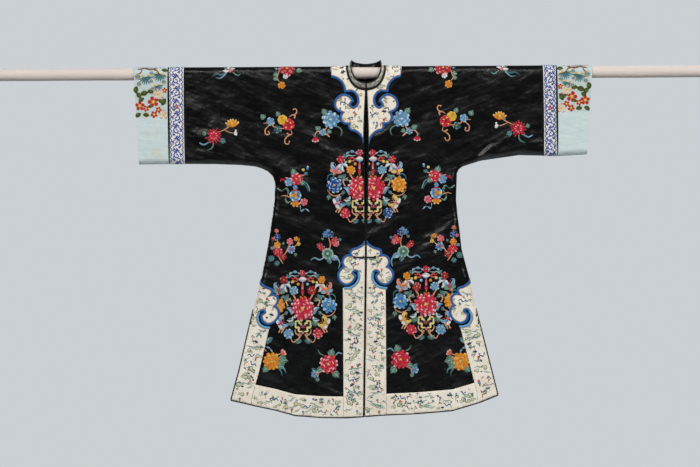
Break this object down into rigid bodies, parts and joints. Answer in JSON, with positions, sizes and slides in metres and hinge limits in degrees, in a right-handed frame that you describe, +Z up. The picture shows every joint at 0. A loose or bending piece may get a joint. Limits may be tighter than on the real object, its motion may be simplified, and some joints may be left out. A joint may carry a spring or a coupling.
{
  "type": "embroidered silk robe hung on a display rod",
  "caption": "Long black satin robe with wide straight sleeves, cream cloud-head borders, open front and side slits, hung flat by its sleeves on a round rod",
  "frame": {"origin": "on the rod's axis, at the robe's centre front", "axes": "+X along the rod to the viewer's right, -Y the front of the robe, +Z up"},
  "size_m": [2.28, 0.0671, 1.0744],
  "materials": {
    "black_satin": "black silk satin, soft sheen",
    "black_binding": "black silk piping",
    "cream_silk": "cream silk with small coloured embroidery",
    "ribbon_band": "woven ribbon, cobalt scrolls on cream",
    "blue_trim": "bright blue silk ribbon",
    "pale_blue_silk": "pale blue-green silk, lightly creased",
    "black_cord": "black silk cord",
    "muslin": "off-white cotton over a wooden pole"
  },
  "bodies": {
    "root": {"band_left": "ribbon_band", "band_right": "ribbon_band", "binding_back": "black_binding", "binding_left": "black_binding", "binding_right": "black_binding", "body_back_left": "black_satin", "body_back_right": "black_satin", "body_front_left": "black_satin", "body_front_right": "black_satin", "cloud_collar_left": "cream_silk", "cloud_collar_right": "cream_silk", "cloud_trim_left": "blue_trim", "cloud_trim_right": "blue_trim", "collar": "cream_silk", "collar_foot_binding": "black_binding", "collar_top_binding": "black_binding", "cuff_left": "pale_blue_silk", "cuff_right": "pale_blue_silk", "frog_knot": "black_cord", "frog_left": "black_cord", "frog_right": "black_cord", "front_border_left": "cream_silk", "front_border_right": "cream_silk", "front_trim_left": "blue_trim", "front_trim_right": "blue_trim", "hem_border_back_left": "cream_silk", "hem_border_back_right": "cream_silk", "hem_border_front_left": "cream_silk", "hem_border_front_right": "cream_silk", "rod": "muslin", "side_border_back_left": "cream_silk", "side_border_back_right": "cream_silk", "side_border_front_left": "cream_silk", "side_border_front_right": "cream_silk", "side_trim_back_left": "blue_trim", "side_trim_back_right": "blue_trim", "side_trim_front_left": "blue_trim", "side_trim_front_right": "blue_trim", "sleeve_left": "black_satin", "sleeve_right": "black_satin"}
  },
  "joints": []
}
